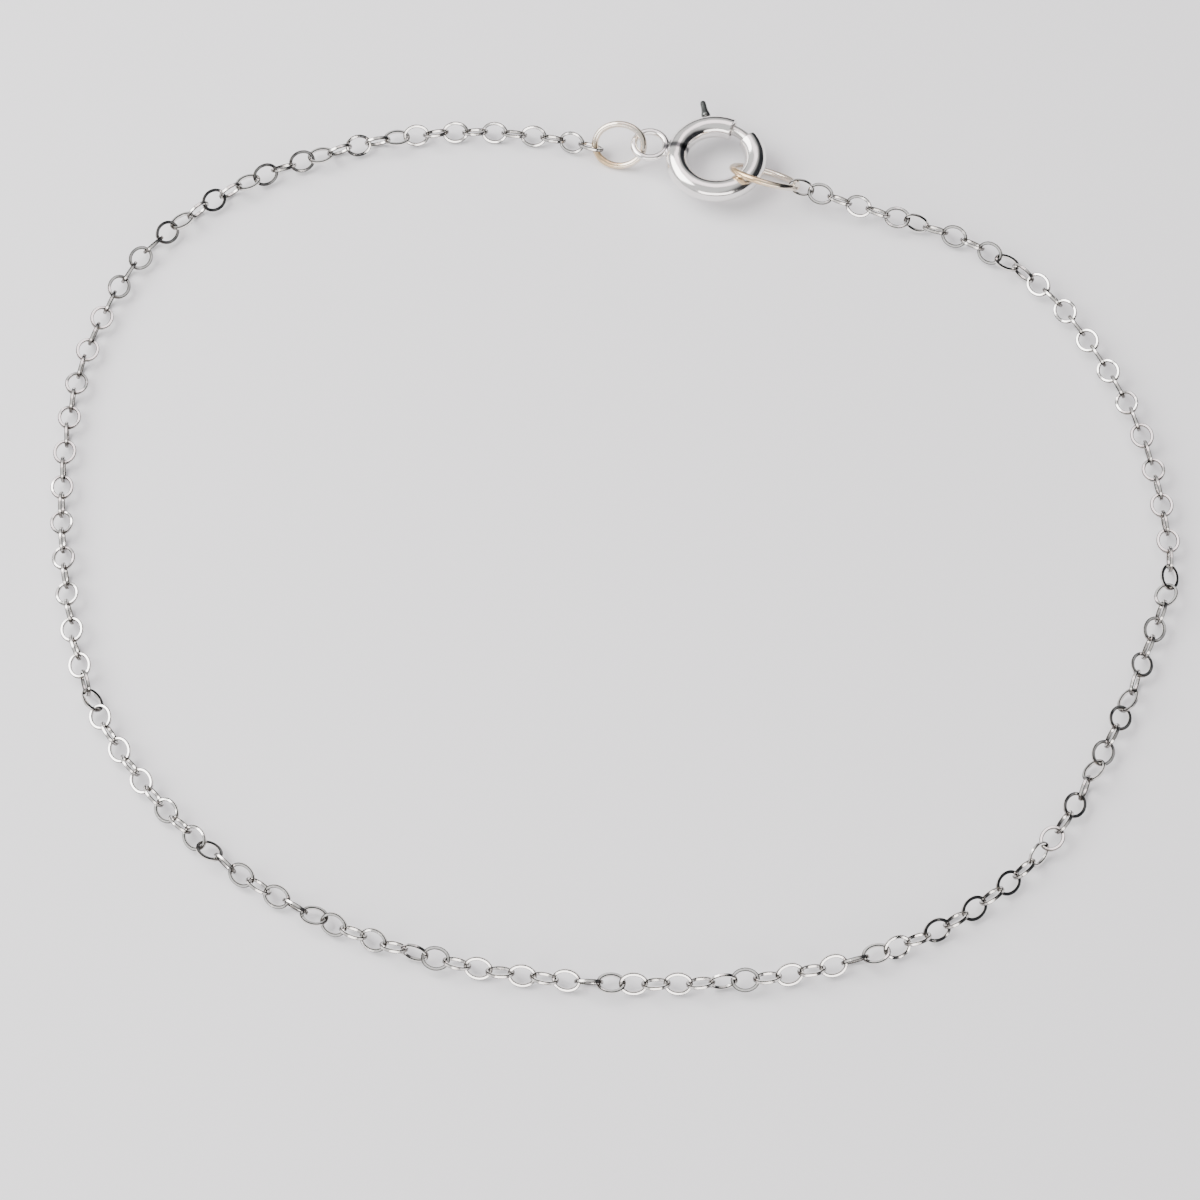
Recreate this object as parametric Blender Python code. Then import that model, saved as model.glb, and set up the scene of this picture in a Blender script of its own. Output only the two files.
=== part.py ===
"""A fine cable-chain bracelet, shut by a spring-ring clasp and lying in a loose oval.

Metres, +Z up, floor at z = 0. The front of the loop is towards -Y and the clasp is at the back.
Each chain half is one fused body of interlocked links. The bolt is the one piece that moves.
"""

import math

import bmesh
import bpy
from mathutils import Matrix, Vector

MM = 0.001

# Chain links: ovals of thin flat strip, rolled flat after linking
LINK_COUNT = 150
FIRST_RIGHT_LINK = 75
LINK_LENGTH = 1.42 * MM
LINK_WIDTH = 1.20 * MM
STRIP_WIDTH = 0.15 * MM
STRIP_THICKNESS = 0.17 * MM
LINK_SIDES = 10

# Where the chain lies, from the jump ring round the left, the front and the right: x_mm, y_mm
ROUTE = (
    (-1.2, 24.06),
    (-7.4, 25.1),
    (-15.0, 23.8),
    (-20.6, 21.2),
    (-25.1, 17.1),
    (-27.9, 10.7),
    (-28.7, 3.3),
    (-28.2, -3.0),
    (-26.8, -9.3),
    (-23.6, -15.0),
    (-19.2, -19.6),
    (-12.9, -23.3),
    (-5.6, -25.45),
    (1.9, -26.1),
    (9.5, -25.4),
    (15.6, -23.3),
    (20.9, -19.2),
    (24.6, -13.3),
    (27.2, -7.3),
    (28.6, -2.9),
    (28.5, 0.6),
    (27.7, 5.4),
    (25.5, 10.8),
    (23.1, 14.6),
    (19.0, 17.8),
    (13.5, 19.8),
    (10.2, 20.885),
)

# The links are drawn a little tighter in some stretches: link number, share of the route before it
SPACING = (
    (0, 0.0),
    (54, 0.3597),
    (64, 0.4255),
    (75, 0.4987),
    (88, 0.5865),
    (97, 0.6479),
    (114, 0.765),
    (149, 1.0),
)

# Each link stands a quarter-turn from the last. The chain also rolls a quarter-turn over three
# links, forwards and back in turn, from each of these links on.
ROLL_STARTS = (9, 12, 17, 20, 49, 60, 65, 71, 79, 85, 91, 101, 105, 110, 116, 136, 142, 147)
ROLL_LINKS = 3
LEAN = math.radians(50)

# Both ends of the chain rise to the rings that hold them: link number, rise_mm
END_RISE = ((0, 0.08), (3, 0.0), (142, 0.0), (149, 0.57))

# Spring ring: a hollow tube with a gap, lying level on the two rings that pass under it
CLASP_CENTRE = Vector((5.6, 22.8, 1.22)) * MM
CLASP_RADIUS = 2.15 * MM
TUBE_RADIUS = 0.6 * MM
BORE_RADIUS = 0.385 * MM
TUBE_SIDES = 12
TUBE_STEPS = 26
GAP_START = math.radians(35)
GAP_END = math.radians(64)

# Bolt and thumb knob, shut: the tip is inside the far end of the tube
BOLT_RADIUS = 0.28 * MM
BOLT_TIP = math.radians(25)
BOLT_ROOT = math.radians(109)
BOLT_SIDES = 8
BOLT_STEPS = 8
KNOB_ANGLE = math.radians(100)
KNOB_TRAVEL = math.radians(40)
KNOB_PROFILE = (
    (2.2, 0.0),
    (2.2, 0.15),
    (2.83, 0.15),
    (2.86, 0.25),
    (3.1, 0.23),
    (3.5, 0.17),
    (3.82, 0.16),
    (3.92, 0.1),
    (3.92, 0.0),
)
SLOT_HALF_HEIGHT = 0.205 * MM
SLOT_CLEARANCE = math.radians(4.9)

# Eyelet soldered to the tube
EYELET_ANGLE = math.radians(165.5)
EYELET_DISTANCE = 3.7 * MM
EYELET_RADIUS = 0.88 * MM
EYELET_WIRE = 0.2 * MM

# Loose rings at the two ends: centre, half length and half width of the wire's middle line, wire
# radius, then heading, pitch down and roll in degrees
JUMP_RING = (
    Vector((0.352, 23.886, 0.99)) * MM,
    1.373 * MM,
    1.138 * MM,
    0.18 * MM,
    (171.9, 11.3, -43.6),
)
END_RING = (
    Vector((8.24, 21.568, 1.246)) * MM,
    1.828 * MM,
    1.551 * MM,
    0.18 * MM,
    (-18.45, 2.95, -43.8),
)
RING_SIDES = 16
RING_WIRE_SIDES = 6


def clear_scene():
    for obj in list(bpy.data.objects):
        bpy.data.objects.remove(obj, do_unlink=True)


def metal(name, colour, roughness):
    """A plain metal: the finished surface is made in the scene."""
    material = bpy.data.materials.new(name)
    material.use_nodes = True
    shader = material.node_tree.nodes["Principled BSDF"]
    shader.inputs["Base Color"].default_value = (*colour, 1.0)
    shader.inputs["Metallic"].default_value = 1.0
    shader.inputs["Roughness"].default_value = roughness
    return material


def add_object(name, bm, material=None, smooth=False):
    """Make an object of this mesh, with its faces turned outwards."""
    bmesh.ops.recalc_face_normals(bm, faces=bm.faces)
    if bm.calc_volume(signed=True) < 0:
        bmesh.ops.reverse_faces(bm, faces=bm.faces)
    mesh = bpy.data.meshes.new(name)
    bm.to_mesh(mesh)
    bm.free()
    if material:
        mesh.materials.append(material)
    if smooth:
        mesh.shade_smooth()
    obj = bpy.data.objects.new(name, mesh)
    bpy.context.scene.collection.objects.link(obj)
    return obj


def add_boolean(obj, helper, operation):
    """Join or cut with a helper, which stays in the scene as a wire outline."""
    modifier = obj.modifiers.new(helper.name, "BOOLEAN")
    modifier.operation = operation
    modifier.solver = "EXACT"
    modifier.object = helper
    helper.hide_render = True
    helper.display_type = "WIRE"


def table_value(table, key):
    """The value at a key, on straight lines between the table's rows."""
    for (low, start), (high, end) in zip(table, table[1:]):
        if key <= high:
            return start + (end - start) * (key - low) / (high - low)
    return table[-1][1]


def route_points(steps=40):
    """A smooth curve through the rows of the route, as many points."""
    rows = [Vector((x, y, 0.0)) * MM for x, y in ROUTE]
    at = [0.0]
    for first, second in zip(rows, rows[1:]):
        at.append(at[-1] + (second - first).length)
    slopes = []
    for i in range(1, len(rows) - 1):
        before = at[i] - at[i - 1]
        after = at[i + 1] - at[i]
        back = (rows[i] - rows[i - 1]) / before
        ahead = (rows[i + 1] - rows[i]) / after
        slopes.append((back * after + ahead * before) / (before + after))
    slopes.insert(0, 2 * (rows[1] - rows[0]) / (at[1] - at[0]) - slopes[0])
    slopes.append(2 * (rows[-1] - rows[-2]) / (at[-1] - at[-2]) - slopes[-1])
    points = [rows[0]]
    for i in range(len(rows) - 1):
        span = at[i + 1] - at[i]
        for step in range(1, steps + 1):
            u = step / steps
            points.append(
                rows[i] * (2 * u**3 - 3 * u**2 + 1)
                + slopes[i] * span * (u**3 - 2 * u**2 + u)
                + rows[i + 1] * (3 * u**2 - 2 * u**3)
                + slopes[i + 1] * span * (u**3 - u**2)
            )
    return points


def points_along(points, shares):
    """The points of a polyline at rising shares of its length."""
    at = [0.0]
    for first, second in zip(points, points[1:]):
        at.append(at[-1] + (second - first).length)
    found = []
    i = 0
    for share in shares:
        wanted = share * at[-1]
        while i < len(points) - 2 and at[i + 1] < wanted:
            i += 1
        found.append(points[i].lerp(points[i + 1], (wanted - at[i]) / (at[i + 1] - at[i])))
    return found


def link_roll(number, heading):
    """How far a link is turned about the chain's line: 0 lies flat."""
    rolled = math.pi / 2
    for order, start in enumerate(ROLL_STARTS):
        share = min(max((number - start) / ROLL_LINKS, 0.0), 1.0)
        rolled += (-1 if order % 2 == 0 else 1) * share * math.pi / 2
    return LEAN * math.cos(heading) + rolled + (number % 2) * math.pi / 2


def link_frames():
    """For each link its centre, its direction, and the side and face directions of its oval."""
    shares = [table_value(SPACING, number) for number in range(LINK_COUNT)]
    centres = points_along(route_points(), shares)
    last = LINK_COUNT - 1
    along = [centres[min(i + 1, last)] - centres[max(i - 1, 0)] for i in range(LINK_COUNT)]
    rolls = [link_roll(i, math.atan2(line.y, line.x)) for i, line in enumerate(along)]
    reach = [
        LINK_WIDTH / 2 * abs(math.sin(roll)) + STRIP_THICKNESS / 2 * abs(math.cos(roll))
        for roll in rolls
    ]
    highest = [max(reach[max(i - 2, 0) : i + 3]) for i in range(LINK_COUNT)]
    for i, centre in enumerate(centres):
        near = highest[max(i - 2, 0) : i + 3]
        centre.z = sum(near) / len(near) + table_value(END_RISE, i) * MM
    frames = []
    for i, roll in enumerate(rolls):
        line = (centres[min(i + 1, last)] - centres[max(i - 1, 0)]).normalized()
        side = Vector((0, 0, 1)).cross(line).normalized()
        rise = line.cross(side)
        across = side * math.cos(roll) + rise * math.sin(roll)
        frames.append((centres[i], line, across, line.cross(across), roll))
    return frames


def add_link(bm, frame, open_start, open_end):
    """One oval of square-edged strip. An end that is fused to a neighbour has no inner face.

    Returns the corners of its two inner end faces, first those towards the last link.
    """
    centre, line, across, face, _ = frame
    turn = math.tau / LINK_SIDES
    end_cosine = math.cos(turn / 2)
    loops = []
    for inset, side in ((0, 1), (0, -1), (STRIP_WIDTH, -1), (STRIP_WIDTH, 1)):
        half_length = (LINK_LENGTH / 2 - inset) / end_cosine
        half_width = LINK_WIDTH / 2 - inset
        loop = []
        for step in range(LINK_SIDES):
            angle = turn * (step + 0.5)
            loop.append(
                bm.verts.new(
                    centre
                    + line * half_length * math.cos(angle)
                    + across * half_width * math.sin(angle)
                    + face * side * STRIP_THICKNESS / 2
                )
            )
        loops.append(loop)
    half = LINK_SIDES // 2
    for number, loop in enumerate(loops):
        after = loops[(number + 1) % 4]
        for step in range(LINK_SIDES):
            ahead = (step + 1) % LINK_SIDES
            at_end = step == LINK_SIDES - 1 and open_end
            at_start = step == half - 1 and open_start
            if number == 2 and (at_end or at_start):
                continue
            bm.faces.new((loop[step], loop[ahead], after[ahead], after[step]))
    low, high = loops[2], loops[3]
    start_corners = (low[half - 1], high[half - 1], high[half], low[half])
    end_corners = (low[0], high[0], high[-1], low[-1])
    return start_corners, end_corners


def fuse_links(bm, corners, roll, next_corners, next_roll):
    """Skin the thin gap between two inner end faces, which cross each other."""
    between = (next_roll - roll) % math.tau
    shift = 2 if between > math.pi else 0
    for i in range(4):
        bm.faces.new(
            (
                corners[i],
                corners[(i + 1) % 4],
                next_corners[(i + shift) % 4],
                next_corners[(i + shift - 1) % 4],
            )
        )


def add_chain(name, frames, material):
    """Interlocked links, each fused to the next where its end bears on it."""
    bm = bmesh.new()
    before = None
    for number, frame in enumerate(frames):
        start, end = add_link(bm, frame, number > 0, number < len(frames) - 1)
        if before:
            fuse_links(bm, before[0], before[1], start, frame[4])
        before = (end, frame[4])
    return add_object(name, bm, material)


def circle_points(radius, sides, turn=0.5):
    """A regular outline in the XZ plane about the middle of the clasp's tube."""
    angles = [math.tau * (i + turn) / sides for i in range(sides)]
    return [
        Vector((CLASP_RADIUS + radius * math.cos(angle), 0, radius * math.sin(angle)))
        for angle in angles
    ]


def spin_section(bm, outline, start, end, steps, bore=()):
    """Spin a closed outline about the clasp's axis into a solid with both ends closed.

    With a bore, which has as many points as the outline, the section is the band between them.
    """
    turned = Matrix.Rotation(start, 3, "Z")
    outer = [bm.verts.new(turned @ point) for point in outline]
    inner = [bm.verts.new(turned @ point) for point in bore]
    if bore:
        faces = [
            bm.faces.new((outer[i - 1], outer[i], inner[i], inner[i - 1]))
            for i in range(len(outer))
        ]
    else:
        faces = [bm.faces.new(outer)]
    edges = list({edge for face in faces for edge in face.edges})
    bmesh.ops.spin(
        bm,
        geom=outer + inner + edges + faces,
        cent=(0, 0, 0),
        axis=(0, 0, 1),
        angle=end - start,
        steps=steps,
    )


def add_eyelet():
    """The small level ring outside the tube, sunk a little into its wall."""
    direction = Vector((math.cos(EYELET_ANGLE), math.sin(EYELET_ANGLE), 0))
    centre = CLASP_CENTRE + direction * EYELET_DISTANCE
    place = Matrix.Translation(centre) @ Matrix.Rotation(EYELET_ANGLE, 4, "Z")
    bm = ring_mesh(EYELET_RADIUS, EYELET_RADIUS, EYELET_WIRE, place)
    return add_object("eyelet_helper", bm)


def add_slot():
    """The curved cutter of the slot that the thumb knob slides in."""
    near = CLASP_RADIUS + BORE_RADIUS * 0.6
    far = CLASP_RADIUS + TUBE_RADIUS * 1.4
    corners = (
        Vector((near, 0, -SLOT_HALF_HEIGHT)),
        Vector((far, 0, -SLOT_HALF_HEIGHT)),
        Vector((far, 0, SLOT_HALF_HEIGHT)),
        Vector((near, 0, SLOT_HALF_HEIGHT)),
    )
    bm = bmesh.new()
    start = KNOB_ANGLE - SLOT_CLEARANCE
    end = KNOB_ANGLE + KNOB_TRAVEL + SLOT_CLEARANCE
    spin_section(bm, corners, start, end, 5)
    bm.transform(Matrix.Translation(CLASP_CENTRE))
    return add_object("slot_helper", bm)


def add_clasp_ring(material):
    """The C-shaped tube with its open ends at the gap, the eyelet on it and the slot in it."""
    bm = bmesh.new()
    start, end = GAP_END, GAP_START + math.tau
    wall = circle_points(TUBE_RADIUS, TUBE_SIDES)
    bore = circle_points(BORE_RADIUS, TUBE_SIDES)
    spin_section(bm, wall, start, end, TUBE_STEPS, bore)
    bm.transform(Matrix.Translation(CLASP_CENTRE))
    ring = add_object("clasp_ring", bm, material, smooth=True)
    add_boolean(ring, add_eyelet(), "UNION")
    add_boolean(ring, add_slot(), "DIFFERENCE")
    return ring


def add_knob():
    """The thumb knob, turned about its own line, which points out of the tube."""
    bm = bmesh.new()
    verts = [bm.verts.new((out * MM, radius * MM, 0)) for out, radius in KNOB_PROFILE]
    edges = [bm.edges.new(pair) for pair in zip(verts, verts[1:])]
    bmesh.ops.spin(
        bm,
        geom=verts + edges,
        cent=(0, 0, 0),
        axis=(1, 0, 0),
        angle=math.tau,
        steps=8,
        use_merge=True,
    )
    bmesh.ops.remove_doubles(bm, verts=bm.verts, dist=0.001 * MM)
    bm.transform(Matrix.Translation(CLASP_CENTRE) @ Matrix.Rotation(KNOB_ANGLE, 4, "Z"))
    return add_object("knob_helper", bm)


def add_clasp_bolt(material):
    """The curved bolt, shut across the gap, with the thumb knob soldered to its root."""
    bm = bmesh.new()
    spin_section(bm, circle_points(BOLT_RADIUS, BOLT_SIDES), BOLT_TIP, BOLT_ROOT, BOLT_STEPS)
    bm.transform(Matrix.Translation(CLASP_CENTRE))
    bolt = add_object("clasp_bolt", bm, material, smooth=True)
    add_boolean(bolt, add_knob(), "UNION")
    return bolt


def ring_mesh(half_length, half_width, wire, place):
    """A closed oval ring of round wire about its own Z axis, then put in its place."""
    bm = bmesh.new()
    loops = []
    for step in range(RING_SIDES):
        angle = math.tau * step / RING_SIDES
        middle = Vector((half_length * math.cos(angle), half_width * math.sin(angle), 0))
        out = Vector((half_width * math.cos(angle), half_length * math.sin(angle), 0)).normalized()
        loop = []
        for side in range(RING_WIRE_SIDES):
            turn = math.tau * (side + 0.5) / RING_WIRE_SIDES
            offset = out * math.cos(turn) + Vector((0, 0, math.sin(turn)))
            loop.append(bm.verts.new(middle + offset * wire))
        loops.append(loop)
    for step, loop in enumerate(loops):
        before = loops[step - 1]
        for side in range(RING_WIRE_SIDES):
            bm.faces.new((before[side - 1], before[side], loop[side], loop[side - 1]))
    bm.transform(place)
    return bm


def add_loose_ring(name, ring, material):
    """A ring that leans: its length points along a heading, pitched down and then rolled."""
    centre, half_length, half_width, wire, turns = ring
    heading, pitch, roll = (math.radians(turn) for turn in turns)
    place = (
        Matrix.Translation(centre)
        @ Matrix.Rotation(heading, 4, "Z")
        @ Matrix.Rotation(pitch, 4, "Y")
        @ Matrix.Rotation(roll, 4, "X")
    )
    return add_object(name, ring_mesh(half_length, half_width, wire, place), material, smooth=True)


def main():
    clear_scene()
    frames = link_frames()
    left, right = frames[:FIRST_RIGHT_LINK], frames[FIRST_RIGHT_LINK:]
    add_chain("chain_left", left, metal("chain left silver", (0.86, 0.86, 0.87), 0.2))
    add_chain("chain_right", right, metal("chain right silver", (0.86, 0.86, 0.87), 0.2))
    add_clasp_ring(metal("clasp ring silver", (0.87, 0.86, 0.87), 0.15))
    add_clasp_bolt(metal("clasp bolt silver", (0.8, 0.8, 0.81), 0.2))
    add_loose_ring("jump_ring", JUMP_RING, metal("jump ring silver", (0.86, 0.85, 0.84), 0.18))
    add_loose_ring("end_ring", END_RING, metal("end ring silver", (0.86, 0.84, 0.82), 0.18))


main()
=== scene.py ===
"""The looks of a fine cable-chain bracelet: bevelled links, a smooth clasp, the metals and a stage."""

import math
import random

import bmesh
import bpy
from bpy.props import FloatProperty, FloatVectorProperty, IntProperty, PointerProperty
from mathutils import Matrix, Vector


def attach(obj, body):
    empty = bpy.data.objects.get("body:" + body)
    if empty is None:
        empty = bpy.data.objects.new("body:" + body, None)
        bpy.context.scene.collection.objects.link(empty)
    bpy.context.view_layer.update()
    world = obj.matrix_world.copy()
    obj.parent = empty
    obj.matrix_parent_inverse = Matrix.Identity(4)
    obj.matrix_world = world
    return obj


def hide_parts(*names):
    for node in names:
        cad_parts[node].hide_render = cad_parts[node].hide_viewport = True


bl_info = {
    "name": "Cable Chain Bracelet",
    "version": (1, 0, 0),
    "blender": (4, 5, 0),
    "location": "3D View > Sidebar > Bracelet",
    "description": "Makes a fine cable chain, its spring-ring clasp and the loose rings that join them",
    "category": "Add Mesh",
}

MM = 0.001
UP = Vector((0, 0, 1))

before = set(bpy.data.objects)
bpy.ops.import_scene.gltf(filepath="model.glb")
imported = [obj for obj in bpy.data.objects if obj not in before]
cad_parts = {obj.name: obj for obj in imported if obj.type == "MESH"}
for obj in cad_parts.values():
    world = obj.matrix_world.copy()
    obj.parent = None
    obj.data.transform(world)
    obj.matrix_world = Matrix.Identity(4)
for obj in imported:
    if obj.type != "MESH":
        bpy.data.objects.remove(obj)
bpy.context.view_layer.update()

# The chain's route, spacing and roll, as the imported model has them

LINK_COUNT = 150
FIRST_RIGHT_LINK = 75
ROUTE_MM = (
    (-1.2, 24.06),
    (-7.4, 25.1),
    (-15.0, 23.8),
    (-20.6, 21.2),
    (-25.1, 17.1),
    (-27.9, 10.7),
    (-28.7, 3.3),
    (-28.2, -3.0),
    (-26.8, -9.3),
    (-23.6, -15.0),
    (-19.2, -19.6),
    (-12.9, -23.3),
    (-5.6, -25.45),
    (1.9, -26.1),
    (9.5, -25.4),
    (15.6, -23.3),
    (20.9, -19.2),
    (24.6, -13.3),
    (27.2, -7.3),
    (28.6, -2.9),
    (28.5, 0.6),
    (27.7, 5.4),
    (25.5, 10.8),
    (23.1, 14.6),
    (19.0, 17.8),
    (13.5, 19.8),
    (10.2, 20.885),
)
# Points of the smooth curve from each row to the next
ROUTE_STEPS = 40
# Link number, share of the route before it
SPACING = (
    (0, 0.0),
    (54, 0.3597),
    (64, 0.4255),
    (75, 0.4987),
    (88, 0.5865),
    (97, 0.6479),
    (114, 0.765),
    (149, 1.0),
)
# The chain rolls a quarter-turn over three links, forwards and back in turn, from each of these on
ROLL_STARTS = (9, 12, 17, 20, 49, 60, 65, 71, 79, 85, 91, 101, 105, 110, 116, 136, 142, 147)
ROLL_LINKS = 3
# It also leans by up to this much: one way where it runs along X, and the other way where it runs back
LEAN = math.radians(50)
# Link number, rise_mm: the ends of the chain rise to the rings that hold them
END_RISE_MM = ((0, 0.08), (3, 0.0), (142, 0.0), (149, 0.57))
# A link's height follows from its own reach and from that of this many links on each side
NEAR_LINKS = 2
# The start of the random numbers that tilt the links
PLAY_SEED = 7

# A link's faces are told apart by the upward share of their normals: drawn walls, rims, rolled faces
RIM_SLOPE = 0.3
ROLLED_SLOPE = 0.9
CREASE = math.radians(30)
# Where the darkening at the ends of a link starts, and over how much it comes in, as shares of half a link:
# grime, and painted shade where the links cross
BEARING_DARK_START = 0.7
BEARING_DARK_RUN = 0.25

# The clasp lies level on the two rings that pass under it

CLASP_CENTRE = Vector((5.6, 22.8, 1.22)) * MM
EYELET_ANGLE = math.radians(165.5)
# Out from the clasp's middle and radius, in mm, from the knob's neck to its rounded head
KNOB_PROFILE_MM = (
    (2.2, 0.0),
    (2.2, 0.15),
    (2.82, 0.15),
    (2.84, 0.22),
    (2.88, 0.25),
    (3.0, 0.25),
    (3.12, 0.22),
    (3.35, 0.175),
    (3.7, 0.165),
    (3.84, 0.15),
    (3.9, 0.09),
    (3.92, 0.0),
)
# Out from the clasp's middle, in mm: where the rubbed bolt gives way to the dark knob
KNOB_DARK_MM = (2.7, 2.85)
# The dark line at the eyelet, in mm: where it fades to each side, and where it starts and ends going
# outwards
DARK_LINE_EDGE_MM = (0.06, 0.3)
DARK_LINE_START_MM = (1.2, 1.5)
DARK_LINE_END_MM = (2.85, 3.1)
# Edges that turn by more than this, in radians, are bevelled: the tube's rims, and the bolt's ends
TUBE_RIM_TURN = math.radians(50)
BOLT_END_TURN = 1.2
# Faces along the tube and the bolt, and round the bolt, the knob, the eyelet and the eyelet's wire
TUBE_STEPS = 110
BOLT_STEPS = 30
BOLT_SIDES = 20
KNOB_SIDES = 24
EYELET_STEPS = 48
EYELET_SIDES = 16

# Loose rings: centre, half length, half width and wire radius in mm, then heading, pitch down and
# roll in degrees, and where the soldered seam is, in degrees round the ring
JUMP_RING = ((0.352, 23.886, 0.99), 1.373, 1.138, 0.18, (171.9, 11.3, -43.6), 45)
END_RING = ((8.24, 21.568, 1.246), 1.828, 1.551, 0.18, (-18.45, 2.95, -43.8), 240)
# How far round a ring its painted warm reflection and its raised seam reach, in radians, and how far
# the seam stands out, as a share of the wire
WARM_REFLECTION_REACH = 1.2
SEAM_REACH = 0.22
SEAM_RISE = 0.07

# Points closer together than this become one
MERGE = 0.0001 * MM

# The heading of the cloth that every metal was rubbed with, and the depth of its scratches
RUB_HEADING = 0.6
SCRATCH_DEPTH = 0.002 * MM

# The stage, in metres. The floor lies just under the lowest piece, so that it cuts none.
FLOOR_HALF_SIZE = 3.0
FLOOR_DROP = 0.02 * MM
# Name, place, width and height, colour: a window high on the left, a broad soft light overhead and a
# low one in front
LIGHTS = (
    ("window", (-0.21, 0.055, 0.205), (0.27, 0.22), "#FFFDFB"),
    ("overhead", (0.0, 0.2, 0.46), (0.36, 0.3), "#FFEDF2"),
    ("front", (0.0, -0.5, 0.18), (0.7, 0.2), "#FFFAF7"),
)
# The room is darker on the right, away from the window: the sideways tilt of its shade, and the
# heights between which it goes from dark to light
ROOM_TILT = -0.65
ROOM_FADE = (0.1, 0.75)
CAMERA_PLACE = (-0.0007, -0.11211, 0.18691)
CAMERA_TILT = math.radians(30)
CAMERA_LENS = 126
CAMERA_SENSOR = 36
CAMERA_CLIP = 0.01


def from_hex(colour):
    """An sRGB hex colour as the linear red, green and blue that shaders take."""
    values = [int(colour[i : i + 2], 16) / 255 for i in (1, 3, 5)]
    return [v / 12.92 if v <= 0.04045 else ((v + 0.055) / 1.055) ** 2.4 for v in values]


def colour_setting(name, description, colour):
    """A colour for the panel, given as sRGB hex."""
    return FloatVectorProperty(
        name=name, description=description, subtype="COLOR", min=0, max=1, default=from_hex(colour)
    )


def length_setting(name, description, millimetres):
    """A length for the panel, given in millimetres."""
    return FloatProperty(
        name=name, description=description, unit="LENGTH", min=0, precision=6, default=millimetres * MM
    )


def angle_setting(name, description, degrees):
    """An angle for the panel, given in degrees."""
    return FloatProperty(name=name, description=description, subtype="ANGLE", default=math.radians(degrees))


def power_setting(name, description, watts):
    """The power of a light for the panel, given in watts."""
    return FloatProperty(name=name, description=description, unit="POWER", min=0, default=watts)


class ChainSettings(bpy.types.PropertyGroup):
    """Sizes and colours of the links."""

    link_length: length_setting("Link length", "Length of a link outside", 1.44)
    link_width: length_setting("Link width", "Width of a link outside", 1.20)
    strip_width: length_setting("Strip width", "Width of the rolled face of a link", 0.165)
    strip_thickness: length_setting("Strip thickness", "Distance between the two rolled faces", 0.18)
    rim_width: length_setting("Rim width", "Bevel of the strip's four edges", 0.038)
    link_steps: IntProperty(name="Steps", description="Faces round a link", min=12, default=24)
    play: angle_setting("Play", "How far a link tilts from its neighbours at most", 5)
    silver: colour_setting("Silver", "Colour of the rolled faces", "#F4F2EF")
    wall_silver: colour_setting("Wall silver", "Colour of the drawn walls of a link", "#E4E1DD")
    # The rims' near-black colour is a painted dark reflection, which outlines each link
    rim_dark_reflection: colour_setting("Rim silver", "Colour of the tarnished rims", "#1F1E1D")
    # Where links bear on each other the colour darkens: grime, and painted shade where they cross
    grime_and_shade: colour_setting("Grime", "Colour of the tarnish where links bear on each other", "#4A4642")


class ClaspSettings(bpy.types.PropertyGroup):
    """Sizes and colours of the spring ring and its bolt."""

    ring_radius: length_setting("Ring radius", "Radius of the middle line of the tube", 2.15)
    tube_radius: length_setting("Tube radius", "Outside radius of the tube", 0.6)
    tube_wall: length_setting("Tube wall", "Thickness of the tube's wall", 0.215)
    tube_sides: IntProperty(name="Tube sides", description="Faces round the tube", min=12, default=36)
    gap_start: angle_setting("Gap start", "Where the gap in the ring starts", 35)
    gap_end: angle_setting("Gap end", "Where the gap in the ring ends", 64)
    rim_bevel: length_setting("Rim bevel", "Rounding of the rims of the tube's mouth and slot", 0.04)
    bolt_radius: length_setting("Bolt radius", "Radius of the curved bolt", 0.28)
    bolt_tip: angle_setting("Bolt tip", "Where the shut bolt ends, inside the tube", 25)
    bolt_root: angle_setting("Bolt root", "Where the bolt starts, inside the tube", 109)
    bolt_rounding: length_setting("Bolt rounding", "Rounding of the bolt's two ends", 0.1)
    knob_angle: angle_setting("Knob angle", "Where the knob is while the bolt is shut", 100)
    knob_travel: angle_setting("Knob travel", "How far the knob slides", 40)
    slot_clearance: angle_setting("Slot clearance", "Room past the knob at each end of its slot", 4.9)
    slot_reach: length_setting("Slot reach", "Height to each side that the slot takes away", 0.215)
    eyelet_distance: length_setting("Eyelet distance", "From the ring's middle to the eyelet's", 3.7)
    eyelet_radius: length_setting("Eyelet radius", "Radius of the eyelet's middle line", 0.88)
    eyelet_wire: length_setting("Eyelet wire", "Radius of the eyelet's wire", 0.2)
    silver: colour_setting("Silver", "Colour of the polished tube", "#EFECEA")
    bolt_silver: colour_setting("Bolt silver", "Colour of the bolt", "#B9B6B3")
    # The knob outside the tube is coloured dark grey
    knob_silver: colour_setting("Knob silver", "Colour of the oxidised knob", "#5E6160")
    # The dark line is a darker colour drawn across the tube beside the eyelet
    solder: colour_setting("Solder", "Colour of the dark solder line at the eyelet", "#3C3E42")


class RingSettings(bpy.types.PropertyGroup):
    """Colours and faces of the loose rings."""

    steps: IntProperty(name="Steps", description="Faces round a ring", min=16, default=64)
    wire_sides: IntProperty(name="Wire sides", description="Faces round the wire", min=8, default=18)
    silver: colour_setting("Silver", "Colour of the ring's wire", "#EAE6E0")
    # The warm tone round the seam is a painted warm reflection
    warm_reflection_silver: colour_setting("Flushed silver", "Warm tone left by the soldering heat", "#D9BE98")


class StageSettings(bpy.types.PropertyGroup):
    """The floor and the light."""

    floor: colour_setting("Floor", "Colour of the floor", "#F2F2F5")
    window_power: power_setting("Window light", "Power of the light from the left", 1.5)
    overhead_power: power_setting("Overhead light", "Power of the light from above", 0.68)
    front_power: power_setting("Front light", "Power of the light in front", 2.2)
    sky: colour_setting("Sky", "Colour of the room overhead", "#FFFFFF")
    horizon: colour_setting("Horizon", "Colour of the room's darker walls", "#303236")


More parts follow.
